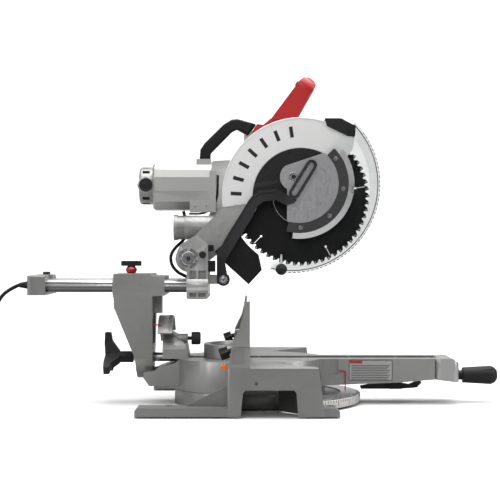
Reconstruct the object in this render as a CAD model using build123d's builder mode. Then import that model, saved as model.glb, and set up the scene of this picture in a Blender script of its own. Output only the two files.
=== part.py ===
from build123d import *
import math
import os

# Sliding compound miter saw, millimetres.
# +X points to the operator, +Y to the motor side, +Z up; the bench surface is Z = 0.
# X = 0 is the face of the fence, over the axis that the table turns about.
# Y = 0 is the plane of the blade.

# ---- driving dimensions -------------------------------------------------
blade_r = 152.5
blade_thick = 2.0
tooth_count = 60
arbor_x, arbor_z = 111.5, 453.5

pivot_x, pivot_z = -132.4, 317.6
pivot_r = 12.0
ear_inner, ear_outer = 46.0, 80.0

table_z = 100.0
table_r = 165.0
arm_half = 60.0
miter_limit = 50.0
arm_end_x = 401.0
cap_end_x = 454.0
slot_half = 9.0

wing_half = 293.5
wing_rear_x = -46.0
wall = 8.0
foot_z = 3.0
hub_r = 166.0
hub_z = 32.5
scale_r = 240.0
foot_top_z = 20.7

fence_low_z = 143.0
fence_dip_z = 128.0
fence_top_z = 233.0
fence_back_x = -43.0

rail_r = 14.0
rail_y = 60.0
rail_z = 258.4
rail_rear_x, rail_front_x = -478.0, -94.0
housing_rear_x, housing_front_x = -293.0, -184.0
collar_x = -211.0
slide_knob_x = -262.5
bushing_r = 18.0
running_gap = 0.06

guard_r = 173.0
guard_near_y, guard_far_y = -34.0, 26.0
shell_wall = 5.0
cover_r = 105.2

swing_x, swing_z = 95.3, 495.4
swing_r = 7.0
shell_x, shell_z = 90.5, 479.6
shell_in_r, shell_out_r = 190.0, 194.0
shell_near_y, shell_far_y = -40.5, 14.0
ring_x, ring_z = 107.0, 481.5
ring_in_r, ring_out_r = 86.4, 108.5

link_near_y, link_far_y = -48.5, -44.5
link_pin_x, link_pin_z = -58.0, 271.7
roller_x, roller_z = 96.5, 459.7
slot_top_x, slot_top_z = 134.0, 521.0

motor_y, motor_z = 70.0, 481.0
motor_rear_x = -217.0
wheel_r, worm_r = 22.0, 5.0

cord_r = 4.0
cord_exit = (-511.0, 0.0, 258.4)
coil_x, coil_mean_r = -738.0, 45.0
coil_layers, coil_rows = 2, 3

os.makedirs("parts", exist_ok=True)


# ---- helpers ------------------------------------------------------------
def save(builder, name):
    """Label a finished piece and write it."""
    builder.part.label = name
    export_step(builder.part, f"parts/{name}.step")


def outline(points, corner=0):
    """Closed outline through the points, with round corners where a radius is given."""
    if corner:
        FilletPolyline(*points, radius=corner, close=True)
    else:
        Polyline(*points, close=True)


def prism_y(points, y_low, y_high, corner=0, mode=Mode.ADD):
    """Side-view outline of (x, z) points, thick in Y."""
    with BuildSketch(Plane.XZ.offset(-y_high)) as side:
        with BuildLine():
            outline(points, corner)
        make_face()
    extrude(side.sketch, amount=y_high - y_low, mode=mode)


def prism_x(points, x_low, x_high, corner=0, mode=Mode.ADD):
    """Front-view outline of (y, z) points, thick in X."""
    with BuildSketch(Plane.YZ.offset(x_low)) as front:
        with BuildLine():
            outline(points, corner)
        make_face()
    extrude(front.sketch, amount=x_high - x_low, mode=mode)


def prism_z(points, z_low, z_high, corner=0, mode=Mode.ADD):
    """Top-view outline of (x, y) points, thick in Z."""
    with BuildSketch(Plane.XY.offset(z_low)) as top:
        with BuildLine():
            outline(points, corner)
        make_face()
    extrude(top.sketch, amount=z_high - z_low, mode=mode)


def block(x_low, x_high, y_low, y_high, z_low, z_high, mode=Mode.ADD):
    """Box between its low and high corners."""
    centre = ((x_low + x_high) / 2, (y_low + y_high) / 2, (z_low + z_high) / 2)
    with Locations(centre):
        Box(x_high - x_low, y_high - y_low, z_high - z_low, mode=mode)


def rod_x(y, z, radius, x_low, x_high, mode=Mode.ADD):
    """Round bar along X."""
    with Locations(((x_low + x_high) / 2, y, z)):
        Cylinder(radius, x_high - x_low, rotation=(0, 90, 0), mode=mode)


def rod_y(x, z, radius, y_low, y_high, mode=Mode.ADD):
    """Round bar along Y."""
    with Locations((x, (y_low + y_high) / 2, z)):
        Cylinder(radius, y_high - y_low, rotation=(90, 0, 0), mode=mode)


def rod_z(x, y, radius, z_low, z_high, mode=Mode.ADD):
    """Round bar along Z."""
    with Locations((x, y, (z_low + z_high) / 2)):
        Cylinder(radius, z_high - z_low, mode=mode)


def polar(x, z, radius, degrees):
    """Point at a radius and an angle about (x, z)."""
    return (x + radius * math.cos(math.radians(degrees)), z + radius * math.sin(math.radians(degrees)))


def pie_y(x, z, radius, start, end, y_low, y_high, mode=Mode.ADD):
    """Pie slice seen from the side, between two angles, thick in Y."""
    with BuildSketch(Plane.XZ.offset(-y_high)) as side:
        with BuildLine():
            CenterArc((x, z), radius, start, end - start)
            Line(polar(x, z, radius, end), (x, z))
            Line((x, z), polar(x, z, radius, start))
        make_face()
    extrude(side.sketch, amount=y_high - y_low, mode=mode)


def band_y(x, z, r_in, r_out, start, end, y_low, y_high, mode=Mode.ADD):
    """Part of a ring seen from the side, between two angles, thick in Y."""
    with BuildSketch(Plane.XZ.offset(-y_high)) as side:
        with BuildLine():
            CenterArc((x, z), r_out, start, end - start)
            Line(polar(x, z, r_out, end), polar(x, z, r_in, end))
            CenterArc((x, z), r_in, start, end - start)
            Line(polar(x, z, r_in, start), polar(x, z, r_out, start))
        make_face()
    extrude(side.sketch, amount=y_high - y_low, mode=mode)


def band_z(r_in, r_out, start, end, z_low, z_high, mode=Mode.ADD):
    """Part of a ring about the table's axis, thick in Z."""
    with BuildSketch(Plane.XY.offset(z_low)) as top:
        with BuildLine():
            CenterArc((0, 0), r_out, start, end - start)
            Line(polar(0, 0, r_out, end), polar(0, 0, r_in, end))
            CenterArc((0, 0), r_in, start, end - start)
            Line(polar(0, 0, r_in, start), polar(0, 0, r_out, start))
        make_face()
    extrude(top.sketch, amount=z_high - z_low, mode=mode)


# ---- base ---------------------------------------------------------------
bolt_x, bolt_y, bolt_hole_r = 165.0, 250.0, 5.0
wing_plan = [
    (wing_rear_x, -wing_half),
    (150, -wing_half),
    (138, -270),
    (68, -186),
    (68, 186),
    (138, 270),
    (150, wing_half),
    (wing_rear_x, wing_half),
]
wing_inner = [
    (wing_rear_x + wall, -wing_half + wall),
    (134, -wing_half + wall),
    (60, -190),
    (60, 190),
    (134, wing_half - wall),
    (wing_rear_x + wall, wing_half - wall),
]

with BuildPart() as base_casting:
    prism_z(wing_plan, foot_z, table_z)
    prism_z(wing_inner, foot_z, table_z - wall, mode=Mode.SUBTRACT)
    rod_z(0, 0, table_r + 2.5, hub_z, table_z + 1, mode=Mode.SUBTRACT)
    rod_z(0, 0, hub_r, foot_z, hub_z)
    rod_z(0, 0, hub_r - wall, foot_z, hub_z - wall, mode=Mode.SUBTRACT)
    rod_z(0, 0, 24, foot_z + 3, hub_z)
    band_z(hub_r - wall, scale_r, -54, 54, 14, 22)
    band_z(scale_r - 6, scale_r, -54, 54, foot_z + 2, 22)
    for angle in (-48, -24, 0, 24, 48):
        band_z(hub_r - 2, scale_r - 2, angle - 1, angle + 1, foot_z + 2, 22)
    for angle in (-miter_limit, miter_limit):
        with Locations(Location((0, 0, 0), (0, 0, angle))):
            with Locations((150, 0, 70)):
                Box(300, 2 * arm_half + 6, 2 * (table_z + 1 - 70), mode=Mode.SUBTRACT)
    for side in (-1, 1):
        y_low, y_high = sorted((side * 255, side * (wing_half + 1)))
        prism_y([(137, table_z + 1), (150, 0), (160, 0), (160, table_z + 1)], y_low, y_high, mode=Mode.SUBTRACT)
        y_low, y_high = sorted((side * 234, side * (wing_half - 1.5)))
        rear_foot = [(wing_rear_x, foot_z), (-231, foot_z), (-231, 14), (-226, foot_top_z), (wing_rear_x, foot_top_z)]
        front_foot = [(120, foot_z), (180, foot_z), (180, 12), (172, foot_top_z), (120, foot_top_z)]
        prism_y(rear_foot, y_low, y_high)
        prism_y(front_foot, y_low, y_high)
        y_low, y_high = sorted((side * 250, side * 256))
        prism_y([(wing_rear_x, 20), (-132, 20), (wing_rear_x, 62)], y_low, y_high)
        y_low, y_high = sorted((side * (wing_half - wall - 1), side * (wing_half + 1)))
        arch = [(-19, 0), (-14, 51), (-9, 56.5), (88, 56.5), (92.5, 51), (96.5, 0)]
        prism_y(arch, y_low, y_high, mode=Mode.SUBTRACT)
        rod_y(12.5, 70.3, 4, y_low, y_high, mode=Mode.SUBTRACT)
    for x in (-bolt_x, bolt_x):
        for y in (-bolt_y, bolt_y):
            rod_z(x, y, bolt_hole_r, 0, 40, mode=Mode.SUBTRACT)
    rod_z(0, 0, 8 + running_gap, 0, hub_z + 1, mode=Mode.SUBTRACT)
    upright_edges = base_casting.edges().filter_by(Axis.Z)
    fillet(upright_edges.filter_by(lambda e: abs(e.center().Y) > wing_half - 1 and e.center().X < 0), 6)
    fillet(upright_edges.filter_by(lambda e: e.center().X > 175 or e.center().X < -225), 4)
save(base_casting, "base_casting")

with BuildPart() as foot_pads:
    for x in (-bolt_x, bolt_x):
        for y in (-bolt_y, bolt_y):
            rod_z(x, y, 16, 0, foot_z)
            rod_z(x, y, bolt_hole_r, -1, foot_z + 1, mode=Mode.SUBTRACT)
save(foot_pads, "foot_pads")

with BuildPart() as miter_scale:
    band_z(scale_r, scale_r + 2.5, -54, 54, foot_z + 2, 23)
save(miter_scale, "miter_scale")

detents = (-45, -31.6, -22.5, -15, 0, 15, 22.5, 31.6, 45)
with BuildPart() as detent_plate:
    band_z(200, 236, -53, 53, 22, 25)
    for angle in detents:
        notch_x, notch_y = polar(0, 0, 236, angle)
        rod_z(notch_x, notch_y, 4, 21, 26, mode=Mode.SUBTRACT)
save(detent_plate, "detent_plate")

with BuildPart() as pivot_bolt:
    rod_z(0, 0, 8, foot_z + 4, 62)
    with BuildSketch(Plane.XY.offset(62)):
        RegularPolygon(14, 6)
    extrude(amount=9)
save(pivot_bolt, "pivot_bolt")

bridge_r_out, bridge_r_in = 102.0, 90.0
clamp_x, clamp_y, clamp_z, clamp_tilt = -38.0, 244.0, 132.0, 20.0


def clamp_plane(side):
    """Plane at the outer end of a fence clamp's boss, facing along its tilted screw."""
    tilt = math.radians(clamp_tilt)
    facing = (-math.cos(tilt), 0, -math.sin(tilt))
    return Plane(origin=(clamp_x, side * clamp_y, clamp_z), x_dir=(0, 1, 0), z_dir=facing)


with BuildPart() as fence:
    for side in (-1, 1):
        profile = [
            (side * 38, table_z + 0.6),
            (side * 38, 116),
            (side * 90, fence_low_z),
            (side * 100, fence_low_z),
            (side * 118, fence_dip_z),
            (side * 176, fence_dip_z),
            (side * 190, fence_low_z - 0.4),
            (side * 290, fence_low_z - 0.4),
            (side * 290, table_z),
            (side * 170, table_z),
            (side * 170, table_z + 0.6),
        ]
        prism_x(profile, -11, 0)
        y_low, y_high = sorted((side * 170, side * 290))
        block(fence_back_x, -11, y_low, y_high, table_z, table_z + 10)
        block(-30, -11, y_low, y_high, table_z + 10, 118)
        for y in (178, 214, 250, 286):
            y_low, y_high = sorted((side * (y - 3), side * (y + 3)))
            prism_y([(-11, table_z + 9), (-40, table_z + 9), (-30, 134), (-11, 140)], y_low, y_high)
        y_low, y_high = sorted((side * 284, side * 290))
        prism_y([(fence_back_x, table_z), (-37, 142), (0, 142), (0, table_z)], y_low, y_high)
        y_low, y_high = sorted((side * 287, side * 291))
        prism_y([(-36, 110), (-34, 138), (-12, 138), (-12, 110)], y_low, y_high, mode=Mode.SUBTRACT)
        y_low, y_high = sorted((side * (clamp_y - 16), side * (clamp_y + 16)))
        prism_y([(-11, 112), (-38, 112), (-38, 134), (-34, 142), (-11, 142)], y_low, y_high)
        with BuildSketch(clamp_plane(side).offset(-15.5)):
            Circle(5 + running_gap)
        extrude(amount=30, mode=Mode.SUBTRACT)
    band_z(bridge_r_in, bridge_r_out, 90, 270, table_z + 0.6, 130)
    block(-34, 0.5, -150, -88, table_z + 0.6, 112)
    block(-34, 0.5, 88, 150, table_z + 0.6, 112)
    block(0, 10, -300, 300, 90, 150, mode=Mode.SUBTRACT)
    rod_z(0, 0, bridge_r_in, 90, 112, mode=Mode.SUBTRACT)
    for side in (-1, 1):
        for y in (196, 268):
            rod_z(-26, side * y, 5, 90, 104, mode=Mode.SUBTRACT)
save(fence, "fence")


# ---- sliding fences -----------------------------------------------------
def sliding_fence(side):
    """Tall fence that slides along Y on top of the fixed fence."""
    face = [
        (side * 182, fence_low_z),
        (side * 292, fence_low_z),
        (side * 292, fence_top_z),
        (side * 276, fence_top_z),
        (side * 194, fence_low_z + 24),
    ]
    prism_x(face, -8, 0)
    top_rail = [
        (side * 292, fence_top_z - 10),
        (side * 292, fence_top_z),
        (side * 276, fence_top_z),
        (side * 267, fence_top_z - 8),
    ]
    prism_x(top_rail, -12, -8)
    y_low, y_high = sorted((side * 200, side * 290))
    block(-24, -8, y_low, y_high, fence_low_z, fence_low_z + 8)
    for y in (206, 244):
        y_low, y_high = sorted((side * (y - 2.5), side * (y + 2.5)))
        rise = fence_low_z + 20 + 0.9 * (y - 200)
        prism_y([(-8, fence_low_z), (-24, fence_low_z), (-23, fence_low_z + 18), (-8, rise)], y_low, y_high)
    end_rib = [(-4, fence_low_z), (-38, fence_low_z), (-26, 169), (-20, 181), (-14, 207), (-10, 232), (-4, 232)]
    y_low, y_high = sorted((side * 286, side * 292))
    prism_y(end_rib, y_low, y_high)


def fence_knob(side):
    """Clamp knob of a sliding fence, on its tilted screw."""
    with BuildSketch(clamp_plane(side).offset(-14)) as screw:
        Circle(5)
    extrude(screw.sketch, amount=20)
    with BuildSketch(clamp_plane(side).offset(6)) as head:
        Circle(11)
        with PolarLocations(10, 6):
            Circle(3.5)
    extrude(head.sketch, amount=18)


with BuildPart() as left_sliding_fence:
    sliding_fence(-1)
save(left_sliding_fence, "left_sliding_fence")

with BuildPart() as right_sliding_fence:
    sliding_fence(1)
save(right_sliding_fence, "right_sliding_fence")

with BuildPart() as left_fence_knob:
    fence_knob(-1)
save(left_fence_knob, "left_fence_knob")

with BuildPart() as right_fence_knob:
    fence_knob(1)
save(right_fence_knob, "right_fence_knob")

# ---- turntable ----------------------------------------------------------
front_arm = [(100, table_z), (arm_end_x, table_z), (arm_end_x, 55), (330, 49), (155, 42), (100, 40)]
rear_block = [(-100, table_z), (-150, table_z), (-162, 91), (-204, 77), (-204, 41), (-100, 41)]
rear_cheek = [(-200, 78), (-208, 74), (-231, 70), (-231, 58), (-219, 41), (-200, 41)]
with BuildPart() as turntable:
    rod_z(0, 0, table_r, hub_z + 0.5, table_z)
    prism_y(front_arm, -arm_half, arm_half)
    prism_y(rear_block, -arm_half, arm_half)
    rod_z(0, 0, table_r - wall, hub_z, table_z - wall, mode=Mode.SUBTRACT)
    inner = [(110, table_z - wall), (arm_end_x + 1, table_z - wall), (arm_end_x + 1, 30), (110, 30)]
    prism_y(inner, -arm_half + wall, arm_half - wall, mode=Mode.SUBTRACT)
    for side in (-1, 1):
        for x in (-96, -32, 32, 96):
            y_low, y_high = sorted((side * 26, side * math.sqrt((table_r - 3) ** 2 - x ** 2)))
            block(x - 3, x + 3, y_low, y_high, 52, table_z - 6)
        y_low, y_high = sorted((side * 52, side * arm_half))
        prism_y(rear_cheek, y_low, y_high)
    rod_z(0, 0, 26, hub_z + 0.5, 62)
    block(-30, 30, -40, 40, 54, 62)
    block(-34, 34, -48, -40, 54, table_z - 4)
    block(-34, 34, 40, 48, 54, table_z - 4)
    block(-136, 410, -26, 26, table_z - 6, table_z + 80, mode=Mode.SUBTRACT)
    block(-20, 410, -20, 20, table_z - 12, table_z, mode=Mode.SUBTRACT)
    rod_z(0, 0, 8 + running_gap, 0, 70, mode=Mode.SUBTRACT)
    rod_x(0, table_z, 11, -210, -120, mode=Mode.SUBTRACT)
    block(172, 191, -arm_half - 1, -arm_half + 5, 66, table_z + 1, mode=Mode.SUBTRACT)
save(turntable, "turntable")

with BuildPart() as kerf_plates:
    for side in (-1, 1):
        y_low, y_high = sorted((side * slot_half, side * 26))
        block(-18, 408, y_low, y_high, table_z - 5, table_z - 0.5)
save(kerf_plates, "kerf_plates")

with BuildPart() as arm_front_cap:
    cap = [(arm_end_x, table_z), (440, table_z), (cap_end_x, 90), (cap_end_x, 48), (arm_end_x, 55)]
    prism_y(cap, -arm_half, arm_half)
    fillet(arm_front_cap.edges().filter_by(Axis.Z), 12)
    rod_x(0, 59.6, 7 + running_gap, 380, 470, mode=Mode.SUBTRACT)
    block(380, 409, -27, 27, table_z - 6, table_z + 1, mode=Mode.SUBTRACT)
    block(arm_end_x - 1, 440, -46, 46, 40, 50, mode=Mode.SUBTRACT)
save(arm_front_cap, "arm_front_cap")

with BuildPart() as miter_pointer:
    prism_y([(192, 76), (208, 74), (207.5, 34), (206, 30), (205, 34), (205, 71), (192, 73)], -arm_half - 3, -arm_half)
save(miter_pointer, "miter_pointer")

with BuildPart() as bevel_trunnion:
    side_plan = [
        (-190, 77),
        (-190, 158),
        (-178, 162),
        (-160, 148),
        (-140, 132),
        (-134, table_z),
        (-150, table_z),
        (-162, 91),
        (-180, 85),
    ]
    prism_y(side_plan, -58, 58)
    with BuildSketch(Plane.YZ.offset(-192)) as front:
        with BuildLine():
            CenterArc((0, table_z), 61.5, 0, 180)
            Line((-61.5, table_z), (61.5, table_z))
        make_face()
    extrude(front.sketch, amount=60, mode=Mode.INTERSECT)
    rod_x(-30, 143, 10, -160, -136)
    rod_x(0, table_z, 10, -200, -120, mode=Mode.SUBTRACT)
    rod_x(-30, 143, 4 + running_gap, -200, -130, mode=Mode.SUBTRACT)
save(bevel_trunnion, "bevel_trunnion")

with BuildPart() as bevel_scale:
    with BuildSketch(Plane.YZ.offset(-194)) as arc_plate:
        with BuildLine():
            CenterArc((0, table_z), 92, 38, 104)
            Line(polar(0, table_z, 92, 142), polar(0, table_z, 61.6, 142))
            CenterArc((0, table_z), 61.6, 38, 104)
            Line(polar(0, table_z, 61.6, 38), polar(0, table_z, 92, 38))
        make_face()
    extrude(arc_plate.sketch, amount=4)
    with BuildSketch(Plane.YZ.offset(-200)) as rim:
        with BuildLine():
            CenterArc((0, table_z), 92, 38, 104)
            Line(polar(0, table_z, 92, 142), polar(0, table_z, 88, 142))
            CenterArc((0, table_z), 88, 38, 104)
            Line(polar(0, table_z, 88, 38), polar(0, table_z, 92, 38))
        make_face()
    extrude(rim.sketch, amount=32)
save(bevel_scale, "bevel_scale")

with BuildPart() as bevel_shaft:
    rod_x(0, table_z, 10, -256, -140)
    rod_x(0, table_z, 6, -300, -256)
save(bevel_shaft, "bevel_shaft")

with BuildPart() as bevel_stop_pin:
    rod_x(-30, 143, 4, -188, -124)
    rod_x(-30, 143, 14, -128, -108)
    fillet(bevel_stop_pin.edges().filter_by(GeomType.CIRCLE).group_by(Axis.X)[-1], 4)
save(bevel_stop_pin, "bevel_stop_pin")

with BuildPart() as miter_handle:
    with BuildSketch(Plane.XZ) as half:
        with BuildLine():
            Polyline((458, 59.6), (458, 70), (469, 70), (470, 76.6), (532, 80.1), (541, 76), (545.5, 70), (545.5, 59.6))
            Line((545.5, 59.6), (458, 59.6))
        make_face()
    revolve(half.sketch, axis=Axis((458, 0, 59.6), (1, 0, 0)))
    for step in range(10):
        groove_y, groove_z = polar(0, 59.6, 21.5, 36 * step)
        rod_x(groove_y, groove_z, 2.6, 480, 550, mode=Mode.SUBTRACT)
    rod_x(0, 59.6, 7, 330, 470)
save(miter_handle, "miter_handle")

lever_pin_x, lever_pin_z = 320.0, 38.0
with BuildPart() as detent_lever:
    shape = [(244, 30), (244, 36), (300, 44), (320, 44), (352, 39), (372, 47), (380, 46), (368, 33), (330, 30)]
    prism_y(shape, -12, 12, corner=2)
    rod_y(lever_pin_x, lever_pin_z, 4 + running_gap, -20, 20, mode=Mode.SUBTRACT)
save(detent_lever, "detent_lever")

with BuildPart() as lever_bracket:
    for side in (-1, 1):
        y_low, y_high = sorted((side * 13, side * 17))
        prism_y([(305, 30), (305, 92), (335, 92), (335, 30)], y_low, y_high, corner=3)
    rod_y(lever_pin_x, lever_pin_z, 4, -17, 17)
    block(305, 335, -17, 17, 87, 92)
save(lever_bracket, "lever_bracket")

# ---- bevel arm ----------------------------------------------------------
arm_side = [
    (housing_rear_x, 284.4),
    (-293.5, 212),
    (-250.7, 99),
    (-247.5, 54),
    (-213, 54),
    (-211, 222),
    (collar_x, 236),
    (housing_front_x, 238),
    (housing_front_x, 279),
    (collar_x, 280),
    (collar_x - 3, 284.4),
]
arm_foot_r = 46.0
with BuildPart() as bevel_arm:
    prism_y(arm_side, -100, 100)
    with BuildSketch(Plane.YZ.offset(-300)) as front:
        with BuildLine():
            Polyline((-arm_foot_r, table_z), (-86, 240), (-84, 284.4), (84, 284.4), (86, 240), (arm_foot_r, table_z))
            CenterArc((0, table_z), arm_foot_r, 180, 180)
        make_face()
    extrude(front.sketch, amount=120, mode=Mode.INTERSECT)
    block(-246, -200, -34, 34, 130, 222, mode=Mode.SUBTRACT)
    block(-216, -194, -14, 14, 197, 240)
    for side in (-1, 1):
        rod_x(side * rail_y, rail_z, 26, -296, housing_rear_x)
        rod_x(side * rail_y, rail_z, bushing_r, -300, -180, mode=Mode.SUBTRACT)
    rod_x(0, table_z, 10 + running_gap, -260, -190, mode=Mode.SUBTRACT)
    rod_z(slide_knob_x, 0, 6 + running_gap, 262, 300, mode=Mode.SUBTRACT)
save(bevel_arm, "bevel_arm")

with BuildPart() as rail_bushings:
    for side in (-1, 1):
        for x in (housing_rear_x - 3, housing_front_x - 22):
            rod_x(side * rail_y, rail_z, bushing_r, x, x + 22)
            rod_x(side * rail_y, rail_z, rail_r + running_gap, x - 1, x + 23, mode=Mode.SUBTRACT)
save(rail_bushings, "rail_bushings")

with BuildPart() as bevel_lock_handle:
    rod_x(0, table_z, 12.5, -312, -258)
    lobe = [(-286, 0), (-288, 14), (-304, 36), (-307, 54), (-320, 55), (-321, 30), (-319, 0)]
    for angle in (90, 210, 330):
        across = (0, -math.sin(math.radians(angle)), math.cos(math.radians(angle)))
        with BuildSketch(Plane(origin=(0, 0, table_z), x_dir=(1, 0, 0), z_dir=across).offset(-9)):
            with BuildLine():
                outline(lobe, 3)
            make_face()
        extrude(amount=18)
    rod_x(0, table_z, 6 + running_gap, -302, -240, mode=Mode.SUBTRACT)
save(bevel_lock_handle, "bevel_lock_handle")

with BuildPart() as slide_lock_knob:
    rod_z(slide_knob_x, 0, 6, 270, 300)
    rod_z(slide_knob_x, 0, 9, 285, 301)
    block(slide_knob_x - 22, slide_knob_x + 22, -9, 9, 301, 312)
    fillet(slide_lock_knob.edges().filter_by(Axis.Z), 3)
save(slide_lock_knob, "slide_lock_knob")

# ---- carriage -----------------------------------------------------------
with BuildPart() as rails:
    for side in (-1, 1):
        rod_x(side * rail_y, rail_z, rail_r, rail_rear_x, rail_front_x)
save(rails, "rails")

with BuildPart() as rear_bracket:
    plan = [(-481, -80), (-441, -80), (-441, 80), (-481, 80)]
    prism_z(plan, 238.5, 281)
    fillet(rear_bracket.edges().filter_by(Axis.Z).group_by(Axis.X)[0], 9)
    fillet(rear_bracket.edges().group_by(Axis.Z)[-1], 3)
    for side in (-1, 1):
        rod_x(side * rail_y, rail_z, rail_r, rail_rear_x, -430, mode=Mode.SUBTRACT)
    block(-470, -440, -30, 30, 255, 290, mode=Mode.SUBTRACT)
save(rear_bracket, "rear_bracket")

ear = [(-136.7, 230), (-136.7, 293), (-154, 311), (-157.5, 331), (-150, 348), (-115.6, 369), (-90.4, 348), (-90.4, 230)]
with BuildPart() as hinge_bracket:
    prism_y(ear, -ear_outer, -ear_inner, corner=4)
    prism_y(ear, ear_inner, ear_outer, corner=4)
    block(-136.7, -90.4, -ear_inner, ear_inner, 240, 280)
    for side in (-1, 1):
        face = side * ear_outer
        rod_x(side * rail_y, rail_z, 25, -136.7, -90.4)
        y_low, y_high = sorted((face, face - side * 12))
        for z in (278, 243):
            block(-130, -116, y_low, y_high, z - 8, z + 14, mode=Mode.SUBTRACT)
            block(-111, -95, y_low, y_high, z - 8, z + 14, mode=Mode.SUBTRACT)
        y_low, y_high = sorted((face, face - side * 8))
        band_y(pivot_x, pivot_z, 15, 22, 10, 80, y_low, y_high, mode=Mode.SUBTRACT)
        band_y(pivot_x, pivot_z, 15, 22, 100, 170, y_low, y_high, mode=Mode.SUBTRACT)
        band_y(pivot_x, pivot_z, 15, 20, 190, 260, y_low, y_high, mode=Mode.SUBTRACT)
        band_y(pivot_x, pivot_z, 15, 22, 280, 350, y_low, y_high, mode=Mode.SUBTRACT)
        rod_x(side * rail_y, rail_z, rail_r, -140, rail_front_x, mode=Mode.SUBTRACT)
    block(-91, -46, -43.5, -35, 262, 282)
    rod_y(link_pin_x, link_pin_z, 14, -43.5, -35)
    rod_y(link_pin_x, link_pin_z, 5, -52, -40)
    rod_y(pivot_x, pivot_z, pivot_r, -90, 90, mode=Mode.SUBTRACT)
    rod_y(-102, 326, 5 + running_gap, -90, -40, mode=Mode.SUBTRACT)
save(hinge_bracket, "hinge_bracket")

with BuildPart() as pivot_pin:
    rod_y(pivot_x, pivot_z, pivot_r, -84, 84)
    with BuildSketch(Plane.XZ.offset(84)):
        with Locations((pivot_x, pivot_z)):
            Circle(10)
            RegularPolygon(6, 6, mode=Mode.SUBTRACT)
    extrude(amount=3)
save(pivot_pin, "pivot_pin")

with BuildPart() as head_bumper:
    block(-90.4, -78.6, -74, -52, 333, 347)
    block(-90.4, -75, -74, -52, 289, 313)
save(head_bumper, "head_bumper")

with BuildPart() as head_lock_pin:
    rod_y(-102, 326, 5, -84, -52)
    rod_y(-102, 326, 7.5, -92, -84)
    fillet(head_lock_pin.edges().group_by(Axis.Y)[0], 2)
save(head_lock_pin, "head_lock_pin")

# ---- head castings ------------------------------------------------------
with BuildPart() as upper_guard:
    pie_y(arbor_x, arbor_z, guard_r, 41, 188, guard_near_y, guard_far_y)
    inner = guard_r - 7
    pie_y(arbor_x, arbor_z, inner, 30, 200, guard_near_y + shell_wall, guard_far_y - shell_wall, mode=Mode.SUBTRACT)
    near = (guard_near_y - 1, guard_near_y + shell_wall + 1)
    rod_y(arbor_x, arbor_z, cover_r + 0.3, near[0], near[1], mode=Mode.SUBTRACT)
    rod_y(arbor_x, arbor_z, 34, guard_far_y - shell_wall - 1, guard_far_y + 1, mode=Mode.SUBTRACT)
    block(40, 100, guard_far_y - shell_wall, guard_far_y, 446, 453.5, mode=Mode.SUBTRACT)
    front_end = [(205, 530), (212, 539.4), (224, 554.7), (229.6, 580), (260, 600), (260, 530)]
    prism_y(front_end, guard_near_y - 1, guard_far_y + 1, mode=Mode.SUBTRACT)
save(upper_guard, "upper_guard")

with BuildPart() as side_cover:
    pie_y(arbor_x, arbor_z, cover_r, 38, 188, -36, guard_near_y + shell_wall)
    rod_y(swing_x, swing_z, 13, -37.7, -36)
    rod_y(swing_x, swing_z, swing_r, -44.2, -37.7)
save(side_cover, "side_cover")

with BuildPart() as guard_nose:
    nose = [(163, 624), (199, 624), (231, 607), (229.6, 584), (214, 585), (168.4, 607)]
    prism_y(nose, -37.2, shell_far_y - 4, corner=2)
    rod_y(arbor_x, arbor_z, guard_r + 0.05, guard_near_y, 60, mode=Mode.SUBTRACT)
save(guard_nose, "guard_nose")

arm_top_rear = polar(arbor_x, arbor_z, guard_r - 1, 188.2)
arm_top_front = polar(arbor_x, arbor_z, 100, 188.2)
arm_outline = [arm_top_rear, arm_top_front, (14, 425), (-22, 372), (-58, 338), (-106, 300), (-150, 340), (-118, 370)]
case_outline = [(-86, 430), (-86, 535), (30, 540), (104, 552), (150, 505), (150, 440), (111, 417), (60, 430), (-40, 420)]
case_arm = [(-83, 429), (-118, 370), (-150, 340), (-106, 300), (-58, 338), (0, 380), (60, 440)]
neck = [(-14, 530), (-14, 596), (20, 612), (44, 628), (106, 636), (100, 545)]
gear_y = (guard_far_y, 105.0)
with BuildPart() as gear_case:
    prism_y(arm_outline, guard_near_y + 1, 45)
    rod_y(pivot_x, pivot_z, 30, -45.5, 45.5)
    rod_y(arbor_x, arbor_z, blade_r + 4.5, guard_near_y + 5, guard_far_y - 5, mode=Mode.SUBTRACT)
    prism_y(case_arm, gear_y[0], 40)
    prism_y(case_outline, gear_y[0], gear_y[1], corner=7)
    prism_y(neck, 56, 100)
    rod_x(motor_y, motor_z, 15, -90, 134, mode=Mode.SUBTRACT)
    rod_x(motor_y, motor_z, 50, -90, -80, mode=Mode.SUBTRACT)
    rod_y(arbor_x, arbor_z, wheel_r + 3, 45, 98, mode=Mode.SUBTRACT)
    rod_y(arbor_x, arbor_z, 10 + running_gap, 20, 60, mode=Mode.SUBTRACT)
    rod_y(pivot_x, pivot_z, pivot_r + running_gap, -50, 50, mode=Mode.SUBTRACT)
    rod_x(0, 385.7, 26.5, -180, -80, mode=Mode.SUBTRACT)
save(gear_case, "gear_case")

with BuildPart() as dust_port:
    rod_x(0, 385.7, 26.5, -168, -80)
    rod_x(0, 385.7, 28.5, -168, -160)
    rod_x(0, 385.7, 23, -170, -84, mode=Mode.SUBTRACT)
    with BuildSketch(Plane.YZ.offset(-148)):
        with Locations((0, 385.7)):
            Circle(28)
            Circle(25.2, mode=Mode.SUBTRACT)
    extrude(amount=4, mode=Mode.SUBTRACT)
save(dust_port, "dust_port")

with BuildPart() as dust_chute:
    chute = [(-56.5, 309), (-3, 260.5), (26, 292), (18, 330), (-10, 371), (-20.5, 371), (-56.5, 337)]
    prism_y(chute, -25, 25)
    rod_y(arbor_x, arbor_z, blade_r + 5, -30, 30, mode=Mode.SUBTRACT)
    prism_y([(-50, 309), (-4, 267), (8, 280), (-16, 320), (-46, 330)], -21, 21, mode=Mode.SUBTRACT)
    block(-4, 40, -21, 21, 262, 320, mode=Mode.SUBTRACT)
save(dust_chute, "dust_chute")

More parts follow.
